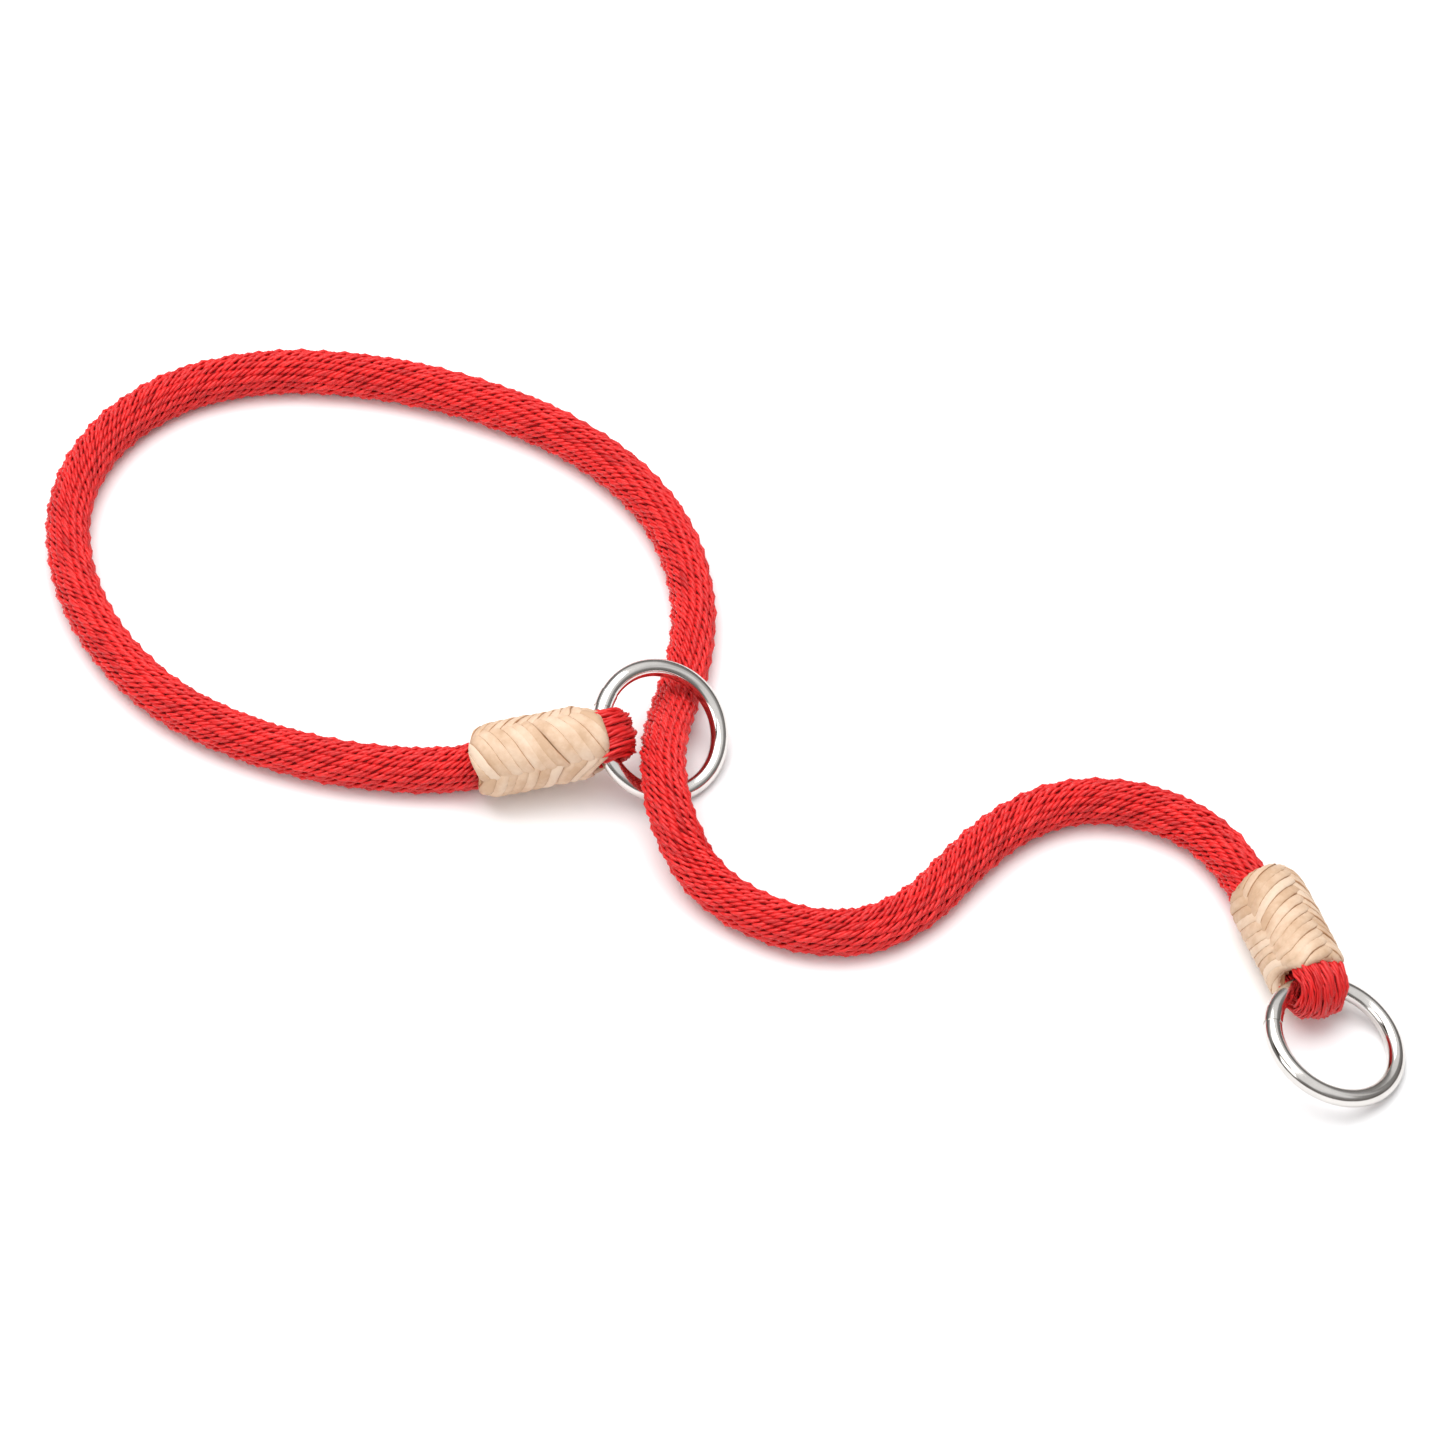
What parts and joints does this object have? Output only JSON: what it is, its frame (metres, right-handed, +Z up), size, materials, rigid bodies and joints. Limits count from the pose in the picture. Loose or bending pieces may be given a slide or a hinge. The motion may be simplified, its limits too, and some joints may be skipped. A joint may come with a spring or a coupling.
{
  "type": "rope slip collar",
  "caption": "Slip collar of solid-braid rope with a welded ring folded into each end, each fold whipped with thread and covered by a plaited leather lace.",
  "frame": {"origin": "on the surface that the collar lies on, below the middle of its two ring ends (rings, folds and bindings, without the free rope)", "axes": "+Z up from that surface; +X from the noose towards the leash ring's end; +Y towards the far side of the noose"},
  "size_m": [0.3037, 0.2207, 0.0232],
  "materials": {
    "rope": "bright red solid-braid polyester rope, soft sheen on the strands, dark between them",
    "thread": "waxed whipping thread, dull red",
    "lace": "undyed vegetable-tanned leather lace, pale tan with darker gaps, waxed and slightly burnished",
    "plated_steel": "bright nickel plate over welded steel wire"
  },
  "bodies": {
    "line": {"tail_rope": "rope", "slide_eye": "rope", "leash_eye": "rope", "slide_seizing": "thread", "leash_seizing": "thread", "slide_binding": "lace", "leash_binding": "lace"},
    "noose": {"noose_rope": "rope"},
    "slide_ring": {"slide_ring": "plated_steel"},
    "leash_ring": {"leash_ring": "plated_steel"}
  },
  "joints": [
    {"name": "noose_slip", "type": "slide", "parent": "line", "child": "noose", "axis": [-0.8, 0.6, 0], "range_m": [-0.03, 0.015], "deforming": ["noose_rope"]},
    {"name": "slide_ring_turn", "type": "hinge", "parent": "line", "child": "slide_ring", "pos_m": [-0.05829, 0.04184, 0.01063], "axis": [0.4145, -0.4147, 0.8101], "continuous": true},
    {"name": "leash_ring_swing", "type": "hinge", "parent": "line", "child": "leash_ring", "pos_m": [0.083, -0.0282, 0.00915], "axis": [-0.8939, -0.3166, 0.3173], "range_deg": [-80, 98]}
  ]
}
